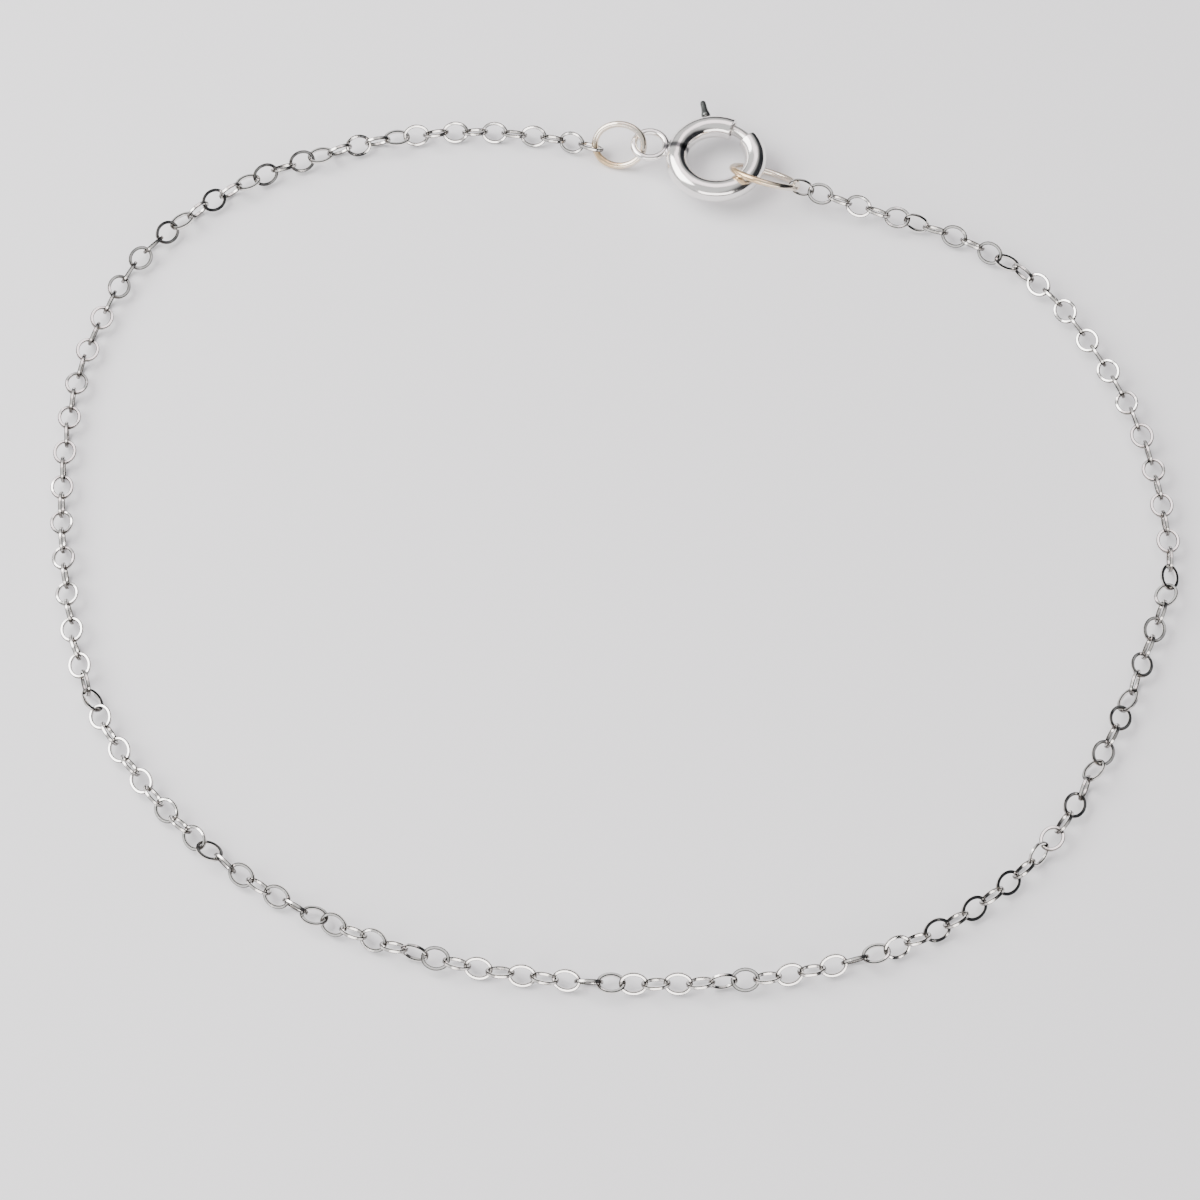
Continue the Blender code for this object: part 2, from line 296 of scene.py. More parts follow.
SETTINGS = {
    "bracelet_chain": ChainSettings,
    "bracelet_clasp": ClaspSettings,
    "bracelet_rings": RingSettings,
    "bracelet_stage": StageSettings,
}


# Materials


def set_inputs(tree, node, inputs):
    """Set inputs of a node. Each is a plain value, or the output of another node that it is joined to."""
    for name, value in inputs.items():
        if isinstance(value, bpy.types.NodeSocket):
            tree.links.new(value, node.inputs[name])
        else:
            node.inputs[name].default_value = value


def add_node(tree, kind, settings=None, inputs=None):
    """Add a node with its settings and its inputs."""
    node = tree.nodes.new(kind)
    for name, value in (settings or {}).items():
        setattr(node, name, value)
    set_inputs(tree, node, inputs or {})
    return node


def new_material(name):
    """A new material, with its tree, its shader and the place on the object that patterns read."""
    material = bpy.data.materials.new(name)
    material.use_nodes = True
    tree = material.node_tree
    shader = tree.nodes["Principled BSDF"]
    place = tree.nodes.new("ShaderNodeTexCoord").outputs["Object"]
    return material, tree, shader, place


def opaque(colour):
    """A colour as the colour sockets take it."""
    return (*colour, 1.0)


def polish_marks(tree, shader, place, size_mm, stretch, strength, uneven_mm=None):
    """Fine scratches of a polishing cloth: noise drawn out along one direction, as a faint bump. Real
    ones are some thousandths of a millimetre wide, so they are drawn coarser to show.

    With uneven_mm, the size and depth of an uneven surface, the scratches lie on such a surface.
    """
    stretched = add_node(
        tree,
        "ShaderNodeMapping",
        {},
        {"Vector": place, "Rotation": (0.0, 0.0, RUB_HEADING), "Scale": (1.0, stretch, stretch)},
    )
    marks = add_node(
        tree,
        "ShaderNodeTexNoise",
        {},
        {"Vector": stretched.outputs[0], "Scale": 1 / (size_mm * MM), "Detail": 3.0, "Roughness": 0.6},
    )
    bump = add_node(
        tree,
        "ShaderNodeBump",
        {},
        {"Height": marks.outputs["Fac"], "Strength": strength, "Distance": SCRATCH_DEPTH},
    )
    if uneven_mm:
        size, depth = uneven_mm
        waves = add_node(
            tree, "ShaderNodeTexNoise", {}, {"Vector": place, "Scale": 1 / (size * MM), "Detail": 1.0}
        )
        uneven = add_node(
            tree,
            "ShaderNodeBump",
            {},
            {"Height": waves.outputs["Fac"], "Strength": 1.0, "Distance": depth * MM},
        )
        set_inputs(tree, bump, {"Normal": uneven.outputs["Normal"]})
    set_inputs(tree, shader, {"Normal": bump.outputs["Normal"]})


def metal_surface(tree, shader, colour, roughness):
    """Join a metal's colour and roughness to its shader."""
    set_inputs(
        tree,
        shader,
        {
            "Base Color": colour.outputs["Result"],
            "Metallic": 1.0,
            "Roughness": roughness.outputs["Result"],
        },
    )


def rolled_silver(settings):
    """Sterling silver chain, rolled flat after linking: the rolled faces are mirror bright and the drawn
    walls a little softer. The thin rims between them are painted near black as a dark reflection, which
    outlines each link. Where the links bear on each other the colour darkens, for grime and as painted
    shade."""
    material, tree, shader, place = new_material("rolled sterling silver")
    rolled = add_node(tree, "ShaderNodeAttribute", {"attribute_name": "rolled"}).outputs["Fac"]
    bearing = add_node(tree, "ShaderNodeAttribute", {"attribute_name": "bearing"}).outputs["Fac"]
    rim = add_node(tree, "ShaderNodeAttribute", {"attribute_name": "rim"}).outputs["Fac"]
    clean = add_node(
        tree,
        "ShaderNodeMix",
        {"data_type": "RGBA"},
        {"Factor": rolled, "A": opaque(settings.wall_silver), "B": opaque(settings.silver)},
    )
    # The rims are painted near black, as a dark reflection that outlines each link
    bare = add_node(
        tree,
        "ShaderNodeMix",
        {"data_type": "RGBA"},
        {"Factor": rim, "A": clean.outputs["Result"], "B": opaque(settings.rim_dark_reflection)},
    )
    # The darkening where links bear, grime and painted shade, comes in patches about 0.2 mm across
    patches = add_node(
        tree,
        "ShaderNodeTexNoise",
        {},
        {"Vector": place, "Scale": 1 / (0.2 * MM), "Detail": 2.0},
    )
    patchy = add_node(
        tree,
        "ShaderNodeMapRange",
        {},
        {"Value": patches.outputs["Fac"], "From Min": 0.3, "From Max": 0.6, "To Min": 0.35, "To Max": 1.0},
    )
    # Darkening where links bear: grime, and painted shade where they cross
    dark = add_node(
        tree,
        "ShaderNodeMath",
        {"operation": "MULTIPLY", "use_clamp": True},
        {0: bearing, 1: patchy.outputs["Result"]},
    )
    colour = add_node(
        tree,
        "ShaderNodeMix",
        {"data_type": "RGBA"},
        {"Factor": dark.outputs[0], "A": bare.outputs["Result"], "B": opaque(settings.grime_and_shade)},
    )
    roughness = add_node(
        tree,
        "ShaderNodeMapRange",
        {},
        {"Value": rolled, "To Min": 0.2, "To Max": 0.1},
    )
    metal_surface(tree, shader, colour, roughness)
    polish_marks(tree, shader, place, size_mm=0.05, stretch=3.0, strength=0.25, uneven_mm=(1.0, 0.1))
    return material


def polished_silver(settings):
    """The clasp's drawn silver tube, buffed to a mirror, with soft finger smudges and hair scratches.
    A darker line of colour crosses it where the eyelet joins."""
    material, tree, shader, place = new_material("buffed sterling silver")
    centred = add_node(
        tree,
        "ShaderNodeVectorMath",
        {"operation": "SUBTRACT"},
        {0: place, 1: CLASP_CENTRE},
    )
    turned = add_node(
        tree,
        "ShaderNodeVectorRotate",
        {"rotation_type": "Z_AXIS"},
        {"Vector": centred.outputs[0], "Angle": -EYELET_ANGLE},
    )
    apart = add_node(tree, "ShaderNodeSeparateXYZ", {}, {"Vector": turned.outputs[0]})
    off_line = add_node(tree, "ShaderNodeMath", {"operation": "ABSOLUTE"}, {0: apart.outputs["Y"]})
    near = add_node(
        tree,
        "ShaderNodeMapRange",
        {"interpolation_type": "SMOOTHSTEP"},
        {
            "Value": off_line.outputs[0],
            "From Min": DARK_LINE_EDGE_MM[0] * MM,
            "From Max": DARK_LINE_EDGE_MM[1] * MM,
            "To Min": 0.9,
            "To Max": 0.0,
        },
    )
    # It crosses the tube beside the eyelet alone, and ends on the eyelet
    started = add_node(
        tree,
        "ShaderNodeMapRange",
        {},
        {
            "Value": apart.outputs["X"],
            "From Min": DARK_LINE_START_MM[0] * MM,
            "From Max": DARK_LINE_START_MM[1] * MM,
        },
    )
    before_end = add_node(
        tree,
        "ShaderNodeMapRange",
        {},
        {
            "Value": apart.outputs["X"],
            "From Min": DARK_LINE_END_MM[0] * MM,
            "From Max": DARK_LINE_END_MM[1] * MM,
            "To Min": 1.0,
            "To Max": 0.0,
        },
    )
    on_tube = add_node(
        tree,
        "ShaderNodeMath",
        {"operation": "MULTIPLY"},
        {0: started.outputs["Result"], 1: before_end.outputs["Result"]},
    )
    line = add_node(
        tree,
        "ShaderNodeMath",
        {"operation": "MULTIPLY"},
        {0: near.outputs["Result"], 1: on_tube.outputs[0]},
    )
    # A darker colour drawn in a line across the tube beside the eyelet
    colour = add_node(
        tree,
        "ShaderNodeMix",
        {"data_type": "RGBA"},
        {"Factor": line.outputs[0], "A": opaque(settings.silver), "B": opaque(settings.solder)},
    )
    # Smudges are about 1 mm across
    smudges = add_node(
        tree,
        "ShaderNodeTexNoise",
        {},
        {"Vector": place, "Scale": 1 / (1.0 * MM), "Detail": 3.0, "Roughness": 0.6},
    )
    roughness = add_node(
        tree,
        "ShaderNodeMapRange",
        {},
        {
            "Value": smudges.outputs["Fac"],
            "From Min": 0.35,
            "From Max": 0.7,
            "To Min": 0.08,
            "To Max": 0.2,
        },
    )
    metal_surface(tree, shader, colour, roughness)
    polish_marks(tree, shader, place, size_mm=0.08, stretch=6.0, strength=0.15, uneven_mm=(1.2, 0.03))
    return material


def rubbed_silver(settings):
    """The bolt and knob: greyer silver, rubbed dull along the arc where it slides in the tube. The knob
    outside it is coloured dark."""
    material, tree, shader, place = new_material("rubbed silver")
    centred = add_node(
        tree,
        "ShaderNodeVectorMath",
        {"operation": "SUBTRACT"},
        {0: place, 1: CLASP_CENTRE},
    )
    apart = add_node(tree, "ShaderNodeSeparateXYZ", {}, {"Vector": centred.outputs[0]})
    level = add_node(
        tree,
        "ShaderNodeVectorMath",
        {"operation": "MULTIPLY"},
        {0: centred.outputs[0], 1: (1.0, 1.0, 0.0)},
    )
    from_axis = add_node(tree, "ShaderNodeVectorMath", {"operation": "LENGTH"}, {0: level.outputs[0]})
    across = add_node(
        tree,
        "ShaderNodeCombineXYZ",
        {},
        {"X": from_axis.outputs["Value"], "Y": apart.outputs["Z"]},
    )
    # Rub lines run along the arc. They are drawn 0.02 mm apart, coarser than real ones, to show.
    lines = add_node(
        tree,
        "ShaderNodeTexNoise",
        {},
        {"Vector": across.outputs[0], "Scale": 1 / (0.02 * MM), "Detail": 2.0},
    )
    roughness = add_node(
        tree,
        "ShaderNodeMapRange",
        {},
        {"Value": lines.outputs["Fac"], "From Min": 0.3, "From Max": 0.7, "To Min": 0.16, "To Max": 0.34},
    )
    worn = add_node(
        tree,
        "ShaderNodeMix",
        {"data_type": "RGBA"},
        {
            "Factor": lines.outputs["Fac"],
            "A": opaque(settings.bolt_silver),
            "B": opaque(settings.silver),
        },
    )
    # The dark knob starts at the tube's outside
    outside = add_node(
        tree,
        "ShaderNodeMapRange",
        {},
        {
            "Value": from_axis.outputs["Value"],
            "From Min": KNOB_DARK_MM[0] * MM,
            "From Max": KNOB_DARK_MM[1] * MM,
        },
    )
    colour = add_node(
        tree,
        "ShaderNodeMix",
        {"data_type": "RGBA"},
        {
            "Factor": outside.outputs["Result"],
            "A": worn.outputs["Result"],
            "B": opaque(settings.knob_silver),
        },
    )
    metal_surface(tree, shader, colour, roughness)
    polish_marks(tree, shader, place, size_mm=0.05, stretch=1.0, strength=0.1)
    return material


def soldered_silver(settings):
    """Round silver wire, bent and soldered shut: bright, with a painted warm reflection round the seam."""
    material, tree, shader, place = new_material("soldered silver wire")
    seam = add_node(tree, "ShaderNodeAttribute", {"attribute_name": "seam"}).outputs["Fac"]
    # The painted warm reflection has a ragged edge of about 0.4 mm
    ragged = add_node(
        tree,
        "ShaderNodeTexNoise",
        {},
        {"Vector": place, "Scale": 1 / (0.4 * MM), "Detail": 3.0},
    )
    # Painted warm reflection round the seam
    warm_reflection = add_node(
        tree,
        "ShaderNodeMath",
        {"operation": "MULTIPLY_ADD", "use_clamp": True},
        {0: ragged.outputs["Fac"], 1: 0.7, 2: seam},
    )
    colour = add_node(
        tree,
        "ShaderNodeMix",
        {"data_type": "RGBA"},
        {
            "Factor": warm_reflection.outputs[0],
            "A": opaque(settings.silver),
            "B": opaque(settings.warm_reflection_silver),
        },
    )
    roughness = add_node(
        tree,
        "ShaderNodeMapRange",
        {},
        {"Value": warm_reflection.outputs[0], "To Min": 0.12, "To Max": 0.24},
    )
    metal_surface(tree, shader, colour, roughness)
    polish_marks(tree, shader, place, size_mm=0.06, stretch=4.0, strength=0.2, uneven_mm=(0.7, 0.04))
    return material


def floor_paint(settings):
    """Matt paper sweep: an even pale sheet with a very faint mottle."""
    material, tree, shader, place = new_material("matt paper")
    # The mottle is about 30 mm across
    mottle = add_node(
        tree,
        "ShaderNodeTexNoise",
        {},
        {"Vector": place, "Scale": 1 / (30 * MM), "Detail": 2.0},
    )
    shade = add_node(
        tree,
        "ShaderNodeMapRange",
        {},
        {"Value": mottle.outputs["Fac"], "To Min": 0.97, "To Max": 1.0},
    )
    colour = add_node(
        tree,
        "ShaderNodeMix",
        {"data_type": "RGBA", "blend_type": "MULTIPLY"},
        {"Factor": 1.0, "A": opaque(settings.floor), "B": shade.outputs["Result"]},
    )
    set_inputs(tree, shader, {"Base Color": colour.outputs["Result"], "Roughness": 0.8})
    return material


# Shapes


def add_to_scene(name, data):
    """Add an object that holds this mesh, light or camera."""
    obj = bpy.data.objects.new(name, data)
    bpy.context.scene.collection.objects.link(obj)
    return obj


def new_object(name, bm, material):
    """Make a smooth-shaded object of this mesh, with its faces turned outwards."""
    bmesh.ops.recalc_face_normals(bm, faces=bm.faces)
    if bm.calc_volume(signed=True) < 0:
        bmesh.ops.reverse_faces(bm, faces=bm.faces)
    mesh = bpy.data.meshes.new(name)
    bm.to_mesh(mesh)
    bm.free()
    mesh.shade_smooth()
    mesh.materials.append(material)
    return add_to_scene(name, mesh)


def settle(obj):
    """Turn an object's modifiers into plain mesh."""
    graph = bpy.context.evaluated_depsgraph_get()
    mesh = bpy.data.meshes.new_from_object(obj.evaluated_get(graph))
    obj.modifiers.clear()
    obj.data = mesh


def join_in(obj, helper):
    """Fuse a helper into an object, as solder does."""
    modifier = obj.modifiers.new("solder", "BOOLEAN")
    modifier.operation = "UNION"
    modifier.solver = "EXACT"
    modifier.object = helper
    settle(obj)
    bpy.data.objects.remove(helper, do_unlink=True)


def table_value(table, key):
    """The value at a key, on straight lines between the table's rows."""
    for (low, start), (high, end) in zip(table, table[1:]):
        if key <= high:
            return start + (end - start) * (key - low) / (high - low)
    return table[-1][1]


def route_points():
    """A smooth curve through the rows of the route, as many points."""
    rows = [Vector((x, y, 0.0)) * MM for x, y in ROUTE_MM]
    at = [0.0]
    for first, second in zip(rows, rows[1:]):
        at.append(at[-1] + (second - first).length)
    slopes = []
    for i in range(1, len(rows) - 1):
        before = at[i] - at[i - 1]
        after = at[i + 1] - at[i]
        back = (rows[i] - rows[i - 1]) / before
        ahead = (rows[i + 1] - rows[i]) / after
        slopes.append((back * after + ahead * before) / (before + after))
    slopes.insert(0, 2 * (rows[1] - rows[0]) / (at[1] - at[0]) - slopes[0])
    slopes.append(2 * (rows[-1] - rows[-2]) / (at[-1] - at[-2]) - slopes[-1])
    points = [rows[0]]
    for i in range(len(rows) - 1):
        span = at[i + 1] - at[i]
        for step in range(1, ROUTE_STEPS + 1):
            u = step / ROUTE_STEPS
            points.append(
                rows[i] * (2 * u**3 - 3 * u**2 + 1)
                + slopes[i] * span * (u**3 - 2 * u**2 + u)
                + rows[i + 1] * (3 * u**2 - 2 * u**3)
                + slopes[i + 1] * span * (u**3 - u**2)
            )
    return points


def points_along(points, shares):
    """The points of a polyline at rising shares of its length."""
    at = [0.0]
    for first, second in zip(points, points[1:]):
        at.append(at[-1] + (second - first).length)
    found = []
    i = 0
    for share in shares:
        wanted = share * at[-1]
        while i < len(points) - 2 and at[i + 1] < wanted:
            i += 1
        found.append(points[i].lerp(points[i + 1], (wanted - at[i]) / (at[i + 1] - at[i])))
    return found


def link_roll(number, heading):
    """How far a link is turned about the chain's line: 0 lies flat."""
    rolled = math.pi / 2
    for order, start in enumerate(ROLL_STARTS):
        share = min(max((number - start) / ROLL_LINKS, 0.0), 1.0)
        rolled += (-1 if order % 2 == 0 else 1) * share * math.pi / 2
    return LEAN * math.cos(heading) + rolled + (number % 2) * math.pi / 2


def with_neighbours(values, i):
    """The values from a little before this one to a little after it."""
    return values[max(i - NEAR_LINKS, 0) : i + NEAR_LINKS + 1]


def chain_lines(centres):
    """The line of the chain at each link, from the link before it to the link after it."""
    last = len(centres) - 1
    return [centres[min(i + 1, last)] - centres[max(i - 1, 0)] for i in range(len(centres))]


def link_places(settings):
    """Where each link lies: its length along X, its width along Y and its rolled faces along Z."""
    shares = [table_value(SPACING, number) for number in range(LINK_COUNT)]
    centres = points_along(route_points(), shares)
    rolls = [link_roll(i, math.atan2(line.y, line.x)) for i, line in enumerate(chain_lines(centres))]
    half_width, half_thickness = settings.link_width / 2, settings.strip_thickness / 2
    reach = [half_width * abs(math.sin(roll)) + half_thickness * abs(math.cos(roll)) for roll in rolls]
    highest = [max(with_neighbours(reach, i)) for i in range(LINK_COUNT)]
    for i, centre in enumerate(centres):
        near = with_neighbours(highest, i)
        centre.z = sum(near) / len(near) + table_value(END_RISE_MM, i) * MM
    play = random.Random(PLAY_SEED)
    places = []
    for centre, line, roll in zip(centres, chain_lines(centres), rolls):
        line.normalize()
        side = UP.cross(line).normalized()
        upward = line.cross(side)
        turned = Matrix((line, side, upward)).transposed().to_4x4() @ Matrix.Rotation(roll, 4, "X")
        tilt = Matrix.Rotation(play.uniform(-1, 1) * settings.play, 4, "Z") @ Matrix.Rotation(
            play.uniform(-1, 1) * settings.play, 4, "Y"
        )
        places.append(Matrix.Translation(centre) @ turned @ tilt)
    return places


def spin_round(bm, geometry, angle, steps, closed=False, axis=UP):
    """Spin about an axis through the origin. A closed spin meets its own start."""
    bmesh.ops.spin(
        bm, geom=geometry, cent=(0, 0, 0), axis=axis, angle=angle, steps=steps, use_merge=closed
    )


def stand_circle(bm, radius, sides, distance, heading=0.0, turn=0.0, filled=False):
    """A circle that stands upright at this distance and heading from the Z axis, ready to be spun. The
    turn is about its own middle."""
    bmesh.ops.create_circle(
        bm,
        cap_ends=filled,
        segments=sides,
        radius=radius,
        matrix=Matrix.Rotation(heading, 4, "Z")
        @ Matrix.Translation((distance, 0, 0))
        @ Matrix.Rotation(math.pi / 2, 4, "X")
        @ Matrix.Rotation(turn, 4, "Z"),
    )


def stretch_round(bm, extra):
    """Draw a round ring out along X into an oval, and keep the section of its wire."""
    for vert in bm.verts:
        from_axis = math.hypot(vert.co.x, vert.co.y)
        if from_axis:
            vert.co.x += extra * vert.co.x / from_axis


def make_link(settings):
    """One oval link of square strip with its four edges bevelled. Its faces say whether they are rolled
    or a rim, and its points how near they are to where the next link bears."""
    bm = bmesh.new()
    middle = settings.link_width / 2 - settings.strip_width / 2
    bmesh.ops.create_grid(
        bm,
        x_segments=1,
        y_segments=1,
        size=0.5,
        matrix=Matrix.Translation((middle, 0, 0))
        @ Matrix.Rotation(math.pi / 2, 4, "X")
        @ Matrix.Diagonal((settings.strip_width, settings.strip_thickness, 1, 1)),
    )
    bmesh.ops.bevel(
        bm,
        geom=bm.verts[:],
        offset=settings.rim_width,
        offset_type="OFFSET",
        segments=1,
        profile=0.5,
        affect="VERTICES",
        material=-1,
    )
    bmesh.ops.delete(bm, geom=bm.faces[:], context="FACES_ONLY")
    spin_round(bm, bm.verts[:] + bm.edges[:], math.tau, settings.link_steps, closed=True)
    bmesh.ops.remove_doubles(bm, verts=bm.verts, dist=MERGE)
    stretch_round(bm, (settings.link_length - settings.link_width) / 2)
    bmesh.ops.recalc_face_normals(bm, faces=bm.faces)
    rolled = bm.faces.layers.float.new("rolled")
    rim = bm.faces.layers.float.new("rim")
    for face in bm.faces:
        slope = abs(face.normal.z)
        face[rim] = float(RIM_SLOPE < slope < ROLLED_SLOPE)
        face[rolled] = float(slope > ROLLED_SLOPE)
    for edge in bm.edges:
        edge.smooth = edge.calc_face_angle() < CREASE
    bearing = bm.verts.layers.float.new("bearing")
    for vert in bm.verts:
        along = abs(vert.co.x) / (settings.link_length / 2)
        vert[bearing] = min(max((along - BEARING_DARK_START) / BEARING_DARK_RUN, 0.0), 1.0)
    mesh = bpy.data.meshes.new("link")
    bm.to_mesh(mesh)
    bm.free()
    return mesh


def make_chain(name, link, places, material):
    """A run of interlocked links as one piece."""
    bm = bmesh.new()
    for place in places:
        copy = link.copy()
        copy.transform(place)
        bm.from_mesh(copy)
        bpy.data.meshes.remove(copy)
    return new_object(name, bm, material)


def make_tube(settings):
    """The C-shaped tube about the origin, with the knob's slot in its outside."""
    bm = bmesh.new()
    stand_circle(
        bm,
        settings.tube_radius,
        settings.tube_sides,
        settings.ring_radius,
        heading=settings.gap_end,
        turn=math.pi / settings.tube_sides,
    )
    sweep = settings.gap_start + math.tau - settings.gap_end
    spin_round(bm, bm.verts[:] + bm.edges[:], sweep, TUBE_STEPS)
    slot_start = settings.knob_angle - settings.slot_clearance
    slot_end = settings.knob_angle + settings.knob_travel + settings.slot_clearance
    slot = []
    for face in bm.faces:
        middle = face.calc_center_median()
        angle = math.atan2(middle.y, middle.x)
        outside = math.hypot(middle.x, middle.y) > settings.ring_radius
        if slot_start < angle < slot_end and outside and abs(middle.z) < settings.slot_reach:
            slot.append(face)
    bmesh.ops.delete(bm, geom=slot, context="FACES")
    return bm


def make_torus(radius, wire, steps, sides):
    """A round ring of round wire about the Z axis."""
    bm = bmesh.new()
    stand_circle(bm, wire, sides, radius)
    spin_round(bm, bm.verts[:] + bm.edges[:], math.tau, steps, closed=True)
    bmesh.ops.remove_doubles(bm, verts=bm.verts, dist=MERGE)
    return bm


def make_bolt(settings):
    """The curved bolt about the origin, with rounded ends."""
    bm = bmesh.new()
    stand_circle(
        bm,
        settings.bolt_radius,
        BOLT_SIDES,
        settings.ring_radius,
        heading=settings.bolt_tip,
        filled=True,
    )
    sweep = settings.bolt_root - settings.bolt_tip
    spin_round(bm, bm.verts[:] + bm.edges[:] + bm.faces[:], sweep, BOLT_STEPS)
    ends = [edge for edge in bm.edges if edge.is_manifold and edge.calc_face_angle() > BOLT_END_TURN]
    bmesh.ops.bevel(
        bm,
        geom=ends,
        offset=settings.bolt_rounding,
        offset_type="OFFSET",
        segments=4,
        profile=0.5,
        affect="EDGES",
        material=-1,
    )
    return bm


def make_knob():
    """The knob, turned from its profile, pointing out along X."""
    bm = bmesh.new()
    verts = [bm.verts.new((out * MM, radius * MM, 0)) for out, radius in KNOB_PROFILE_MM]
    edges = [bm.edges.new(pair) for pair in zip(verts, verts[1:])]
    spin_round(bm, verts + edges, math.tau, KNOB_SIDES, closed=True, axis=(1, 0, 0))
    bmesh.ops.remove_doubles(bm, verts=bm.verts, dist=MERGE)
    return bm


def make_loose_ring(name, ring, settings, material):
    """An oval ring of round wire with a slightly raised seam, round which the metal paints a warm
    reflection.
    """
    centre, half_length, half_width, wire, turns, seam_degrees = ring
    bm = make_torus(half_width * MM, wire * MM, settings.steps, settings.wire_sides)
    seam = bm.verts.layers.float.new("seam")
    for vert in bm.verts:
        angle = math.atan2(vert.co.y, vert.co.x)
        apart = abs((angle - math.radians(seam_degrees) + math.pi) % math.tau - math.pi)
        vert[seam] = max(0.0, 1.0 - apart / WARM_REFLECTION_REACH)
        middle = Vector((math.cos(angle), math.sin(angle), 0)) * half_width * MM
        vert.co = middle + (vert.co - middle) * (1 + SEAM_RISE * max(0.0, 1.0 - apart / SEAM_REACH))
    stretch_round(bm, (half_length - half_width) * MM)
    heading, pitch, roll = (math.radians(turn) for turn in turns)
    bm.transform(
        Matrix.Translation(Vector(centre) * MM)
        @ Matrix.Rotation(heading, 4, "Z")
        @ Matrix.Rotation(pitch, 4, "Y")
        @ Matrix.Rotation(roll, 4, "X")
    )
    return new_object(name, bm, material)


# The stage


def make_floor(settings):
    """A wide flat floor."""
    bm = bmesh.new()
    bmesh.ops.create_grid(bm, x_segments=1, y_segments=1, size=FLOOR_HALF_SIZE)
    bm.transform(Matrix.Translation((0, 0, -FLOOR_DROP)))
    mesh = bpy.data.meshes.new("floor")
    bm.to_mesh(mesh)
    bm.free()
    mesh.materials.append(floor_paint(settings))
    return add_to_scene("floor", mesh)


def add_light(name, place, size, colour, power):
    """An oblong light that shines on the middle of the bracelet."""
    light = bpy.data.lights.new(name, "AREA")
    light.shape = "RECTANGLE"
    light.size, light.size_y = size
    light.energy = power
    light.color = from_hex(colour)
    lamp = add_to_scene(name, light)
    lamp.location = place
    lamp.rotation_euler = (-Vector(place)).to_track_quat("-Z", "Y").to_euler()


def make_room(settings):
    """The room round the bracelet, which its metal mirrors: dark low down and light overhead."""
    world = bpy.data.worlds.new("room")
    world.use_nodes = True
    tree = world.node_tree
    direction = add_node(tree, "ShaderNodeTexCoord").outputs["Generated"]
    parts = add_node(tree, "ShaderNodeSeparateXYZ", {}, {"Vector": direction}).outputs
    height = add_node(
        tree,
        "ShaderNodeMath",
        {"operation": "MULTIPLY_ADD"},
        {0: parts["X"], 1: ROOM_TILT, 2: parts["Z"]},
    )
    share = add_node(
        tree,
        "ShaderNodeMapRange",
        {"interpolation_type": "SMOOTHSTEP"},
        {"Value": height.outputs[0], "From Min": ROOM_FADE[0], "From Max": ROOM_FADE[1]},
    )
    shade = add_node(
        tree,
        "ShaderNodeMix",
        {"data_type": "RGBA"},
        {
            "Factor": share.outputs["Result"],
            "A": opaque(settings.horizon),
            "B": opaque(settings.sky),
        },
    )
    set_inputs(tree, tree.nodes["Background"], {"Color": shade.outputs["Result"]})
    return world


def add_camera():
    """The camera, where the photograph was taken from."""
    camera = bpy.data.cameras.new("camera")
    camera.lens = CAMERA_LENS
    camera.sensor_width = CAMERA_SENSOR
    camera.clip_start = CAMERA_CLIP
    holder = add_to_scene("camera", camera)
    holder.location = CAMERA_PLACE
    holder.rotation_euler = (CAMERA_TILT, 0, 0)
    return holder


# The operators, the panel and the run


class MakeChain(bpy.types.Operator):
    """Make both halves of the chain"""

    bl_idname = "bracelet.chain"
    bl_label = "Chain"

    def execute(self, context):
        settings = context.scene.bracelet_chain
        metal = rolled_silver(settings)
        link = make_link(settings)
        places = link_places(settings)
        for side, run in (("left", places[:FIRST_RIGHT_LINK]), ("right", places[FIRST_RIGHT_LINK:])):
            chain = make_chain(f"links_{side}", link, run, metal)
            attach(chain, "bracelet")
            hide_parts(f"chain_{side}")
        bpy.data.meshes.remove(link)
        return {"FINISHED"}


class MakeClaspRing(bpy.types.Operator):
    """Make the clasp's tube with the eyelet soldered to it"""

    bl_idname = "bracelet.clasp_ring"
    bl_label = "Clasp ring"

    def execute(self, context):
        settings = context.scene.bracelet_clasp
        metal = polished_silver(settings)
        bm = make_tube(settings)
        bm.transform(Matrix.Translation(CLASP_CENTRE))
        ring = new_object("clasp_tube", bm, metal)
        wall = ring.modifiers.new("wall", "SOLIDIFY")
        wall.thickness = settings.tube_wall
        wall.offset = -1.0
        wall.use_even_offset = True
        rim = ring.modifiers.new("rim", "BEVEL")
        rim.width = settings.rim_bevel
        rim.segments = 3
        rim.limit_method = "ANGLE"
        rim.angle_limit = TUBE_RIM_TURN
        settle(ring)
        outward = Vector((math.cos(EYELET_ANGLE), math.sin(EYELET_ANGLE), 0))
        bm = make_torus(settings.eyelet_radius, settings.eyelet_wire, EYELET_STEPS, EYELET_SIDES)
        bm.transform(Matrix.Translation(CLASP_CENTRE + outward * settings.eyelet_distance))
        join_in(ring, new_object("eyelet", bm, metal))
        ring.data.shade_smooth()
        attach(ring, "bracelet")
        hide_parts("clasp_ring")
        return {"FINISHED"}


class MakeClaspBolt(bpy.types.Operator):
    """Make the curved bolt and its thumb knob"""

    bl_idname = "bracelet.clasp_bolt"
    bl_label = "Clasp bolt"

    def execute(self, context):
        settings = context.scene.bracelet_clasp
        metal = rubbed_silver(settings)
        bm = make_bolt(settings)
        bm.transform(Matrix.Translation(CLASP_CENTRE))
        bolt = new_object("clasp_bolt_and_knob", bm, metal)
        bm = make_knob()
        bm.transform(Matrix.Translation(CLASP_CENTRE) @ Matrix.Rotation(settings.knob_angle, 4, "Z"))
        join_in(bolt, new_object("knob", bm, metal))
        bolt.data.shade_smooth()
        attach(bolt, "bolt")
        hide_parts("clasp_bolt")
        return {"FINISHED"}


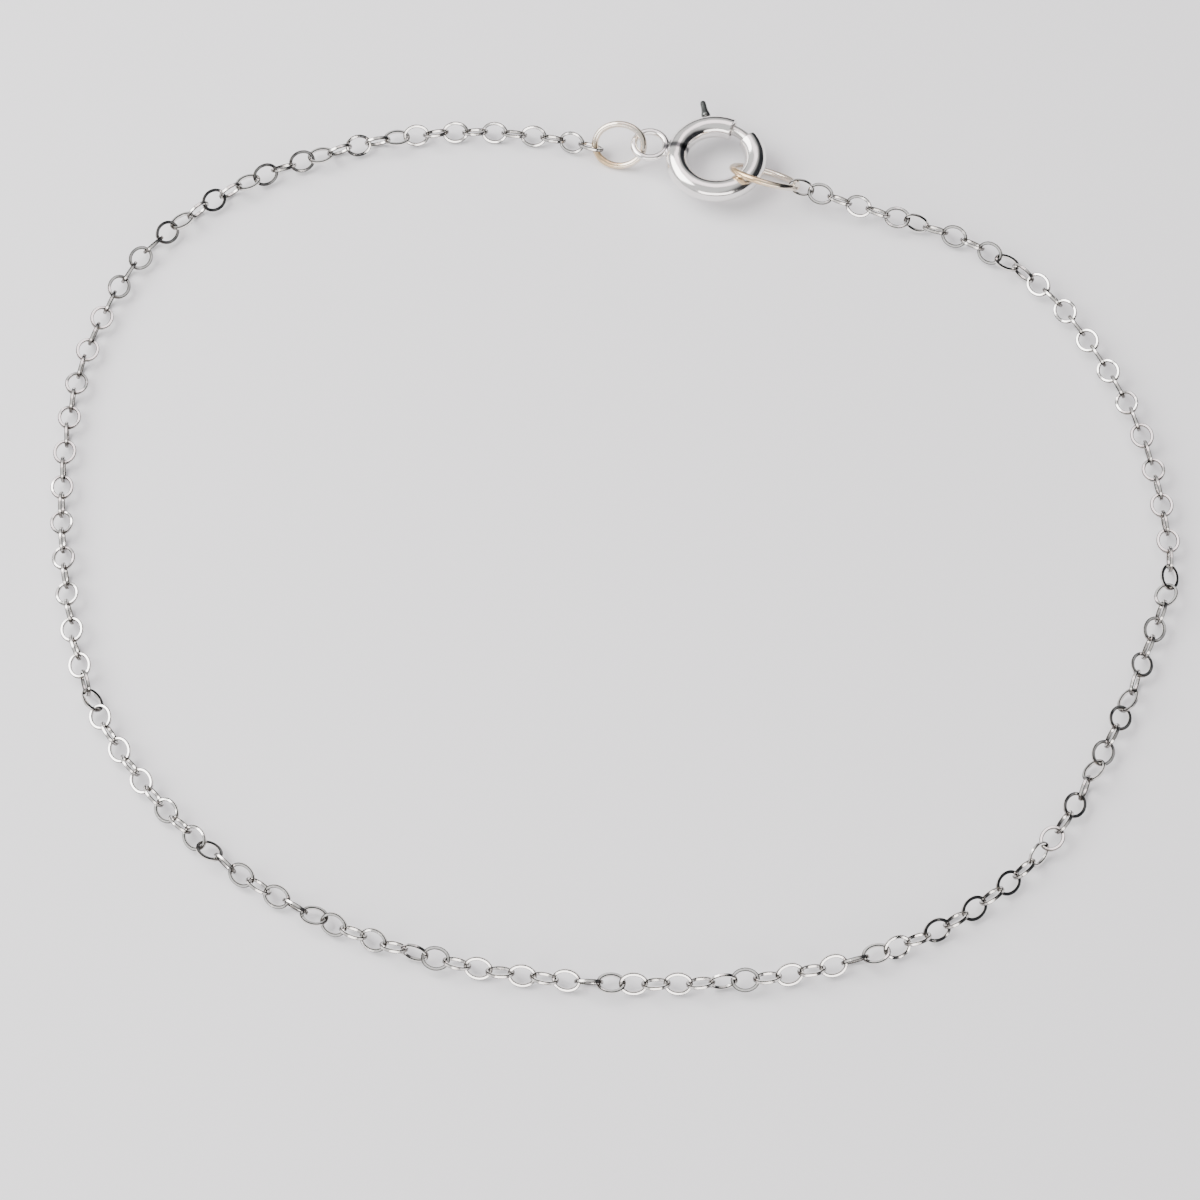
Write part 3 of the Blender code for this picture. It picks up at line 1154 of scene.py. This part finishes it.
class MakeLooseRings(bpy.types.Operator):
    """Make the jump ring in the eyelet and the end ring that the clasp closes on"""

    bl_idname = "bracelet.loose_rings"
    bl_label = "Loose rings"

    def execute(self, context):
        settings = context.scene.bracelet_rings
        metal = soldered_silver(settings)
        for node, ring in (("jump_ring", JUMP_RING), ("end_ring", END_RING)):
            wire = make_loose_ring(f"{node}_wire", ring, settings, metal)
            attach(wire, "bracelet")
            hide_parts(node)
        return {"FINISHED"}


class MakeStage(bpy.types.Operator):
    """Make the floor, the lights, the room that the metal mirrors and the camera"""

    bl_idname = "bracelet.stage"
    bl_label = "Stage"

    def execute(self, context):
        settings = context.scene.bracelet_stage
        floor = make_floor(settings)
        for name, place, size, colour in LIGHTS:
            add_light(name, place, size, colour, getattr(settings, f"{name}_power"))
        context.scene.world = make_room(settings)
        context.scene.camera = add_camera()
        return {"FINISHED"}


OPERATORS = (MakeChain, MakeClaspRing, MakeClaspBolt, MakeLooseRings, MakeStage)


class BraceletPanel(bpy.types.Panel):
    """The sizes and colours, and a button for each piece"""

    bl_idname = "VIEW3D_PT_bracelet"
    bl_label = "Bracelet"
    bl_space_type = "VIEW_3D"
    bl_region_type = "UI"
    bl_category = "Bracelet"

    def draw(self, context):
        for name, group in SETTINGS.items():
            box = self.layout.box()
            for setting in group.__annotations__:
                box.prop(getattr(context.scene, name), setting)
        for operator in OPERATORS:
            self.layout.operator(operator.bl_idname)


def register():
    for item in (*SETTINGS.values(), *OPERATORS, BraceletPanel):
        bpy.utils.register_class(item)
    for name, group in SETTINGS.items():
        setattr(bpy.types.Scene, name, PointerProperty(type=group))


def unregister():
    for name in SETTINGS:
        delattr(bpy.types.Scene, name)
    for item in (BraceletPanel, *reversed(OPERATORS), *SETTINGS.values()):
        bpy.utils.unregister_class(item)


def main():
    register()
    bpy.ops.bracelet.stage()
    bpy.ops.bracelet.chain()
    bpy.ops.bracelet.clasp_ring()
    bpy.ops.bracelet.clasp_bolt()
    bpy.ops.bracelet.loose_rings()


if __name__ == "__main__":
    main()
